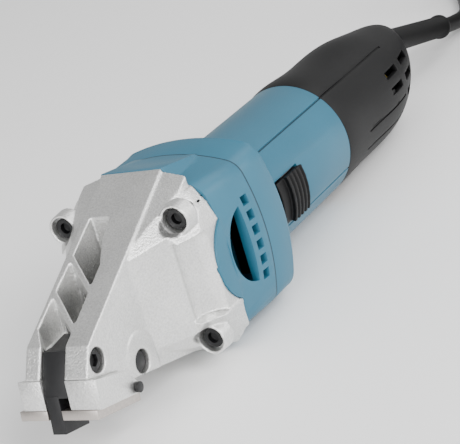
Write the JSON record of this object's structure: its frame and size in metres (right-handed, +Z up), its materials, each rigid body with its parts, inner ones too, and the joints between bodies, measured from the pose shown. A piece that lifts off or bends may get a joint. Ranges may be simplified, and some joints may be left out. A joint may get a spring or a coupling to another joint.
{
  "type": "straight metal shear",
  "caption": "Corded straight double-cut shear for sheet metal: cast nose with a rocking blade between two fixed blades, gear head, slim motor barrel and cord.",
  "frame": {"origin": "on the surface the tool lies on, below the middle of the tool's box measured without the cord, its coil, plug and guard", "axes": "+Y runs from the cutting nose back to the cord, +Z up, +X towards the side with the slide switch"},
  "size_m": [0.1036, 0.5165, 0.0718],
  "materials": {
    "cast_alloy": "bead-blasted casting",
    "blue_plastic": "fine moulded grain",
    "black_plastic": "fine moulded grain",
    "soft_rubber": "satin",
    "cord_jacket": "satin",
    "plated_pins": "nickel plated",
    "black_screws": "black oxide",
    "blade_steel": "ground",
    "dark_steel": "black oxide, ground edges",
    "bright_steel": "ground",
    "core_laminations": "stacked sheets",
    "enamelled_copper": "enamelled",
    "carbon": "pressed carbon",
    "capacitor_film": "film"
  },
  "bodies": {
    "tool_body": {"armature_front_bearing": "bright_steel", "armature_rear_bearing": "bright_steel", "bearing_retainer": "bright_steel", "blade_pivot_bolt": "black_screws", "brush_holders": "black_plastic", "brush_springs": "bright_steel", "carbon_brushes": "carbon", "cord_clamp": "bright_steel", "cord_clamp_screws": "black_screws", "cord_coil": "cord_jacket", "cord_guard": "soft_rubber", "crank_front_bearing": "bright_steel", "crank_rear_bearing": "bright_steel", "fan_baffle": "black_plastic", "field_coil_left": "enamelled_copper", "field_coil_right": "enamelled_copper", "front_housing": "blue_plastic", "head_housing": "cast_alloy", "head_screws": "black_screws", "motor_housing": "blue_plastic", "noise_capacitor": "capacitor_film", "nose_bolts": "black_screws", "plug_body": "cord_jacket", "plug_lead": "cord_jacket", "plug_pins": "plated_pins", "power_cord": "cord_jacket", "rear_cover": "black_plastic", "rear_cover_screw": "black_screws", "side_blade_holder_left": "cast_alloy", "side_blade_holder_right": "cast_alloy", "side_blade_left": "blade_steel", "side_blade_right": "blade_steel", "side_blade_screws": "black_screws", "stator_core": "core_laminations", "stator_screws": "black_screws", "switch_unit": "black_plastic"},
    "armature": {"armature_shaft": "bright_steel", "armature_core": "core_laminations", "armature_windings": "enamelled_copper", "commutator": "enamelled_copper", "fan": "black_plastic"},
    "crank": {"crank_shaft": "bright_steel", "driven_gear": "bright_steel"},
    "roller": {"eccentric_roller": "bright_steel"},
    "blade": {"center_blade": "dark_steel"},
    "switch": {"switch_lever": "black_plastic", "switch_rod": "black_plastic"}
  },
  "joints": [
    {"name": "armature_spin", "type": "hinge", "parent": "tool_body", "child": "armature", "pos_m": [0, 0.01317, 0.0303], "axis": [0, 0.9979, -0.0653], "continuous": true},
    {"name": "crank_spin", "type": "hinge", "parent": "tool_body", "child": "crank", "pos_m": [0, -0.06356, 0.02168], "axis": [0, 0.9979, -0.0653], "continuous": true},
    {"name": "roller_spin", "type": "hinge", "parent": "crank", "child": "roller", "pos_m": [0.002, -0.07952, 0.02273], "axis": [0, 0.9979, -0.0653], "continuous": true},
    {"name": "blade_rock", "type": "hinge", "parent": "tool_body", "child": "blade", "pos_m": [0, -0.11234, 0.02207], "axis": [1, 0, 0], "range_deg": [-3.4, 3.4]},
    {"name": "switch_slide", "type": "slide", "parent": "tool_body", "child": "switch", "axis": [0, -0.9979, 0.0653], "range_m": [0, 0.006]}
  ],
  "couplings": [
    {"joint": "crank_spin", "follows": "armature_spin", "ratio": -0.30769}
  ]
}
